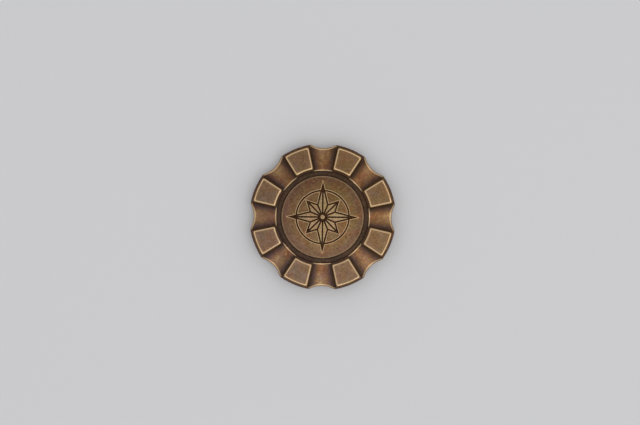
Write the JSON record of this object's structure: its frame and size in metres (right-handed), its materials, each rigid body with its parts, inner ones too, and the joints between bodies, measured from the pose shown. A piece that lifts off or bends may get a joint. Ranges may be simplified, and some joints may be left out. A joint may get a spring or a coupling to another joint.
{
  "type": "spinner challenge coin",
  "caption": "Round antique-bronze coin whose fluted, scalloped ring spins on a hidden ball bearing about two plain-edged medallions screwed together at its middle.",
  "frame": {"origin": "middle of the rear medallion's face, which the coin rests on", "axes": "+Z along the spin axis, out of the front medallion's face; +Y to the front face's twelve o'clock, at the middle of a flute"},
  "size_m": [0.0394, 0.0394, 0.0062],
  "materials": {
    "ring_bronze": "satin antique bronze, dark in the recesses and rubbed bright along the edges",
    "medallion_bronze": "satin antique bronze, mottled brown, with dark engraved lines",
    "bearing_steel": "ground and polished bearing steel",
    "cage_steel": "pressed stainless sheet, satin"
  },
  "bodies": {
    "hub": {"front_medallion": "medallion_bronze", "rear_medallion": "medallion_bronze", "bearing_inner_race": "bearing_steel"},
    "ring": {"outer_ring": "ring_bronze", "bearing_outer_race": "bearing_steel"},
    "cage": {"bearing_cage": "cage_steel", "bearing_ball_1": "bearing_steel", "bearing_ball_2": "bearing_steel", "bearing_ball_3": "bearing_steel", "bearing_ball_4": "bearing_steel", "bearing_ball_5": "bearing_steel", "bearing_ball_6": "bearing_steel", "bearing_ball_7": "bearing_steel", "bearing_ball_8": "bearing_steel", "bearing_ball_9": "bearing_steel", "bearing_ball_10": "bearing_steel"}
  },
  "joints": [
    {"name": "ring_spin", "type": "hinge", "parent": "hub", "child": "ring", "pos_m": [0, 0, 0.00309], "axis": [0, 0, 1], "continuous": true},
    {"name": "cage_spin", "type": "hinge", "parent": "hub", "child": "cage", "pos_m": [0, 0, 0.00309], "axis": [0, 0, 1], "continuous": true}
  ],
  "couplings": [
    {"joint": "cage_spin", "follows": "ring_spin", "ratio": 0.60499}
  ]
}
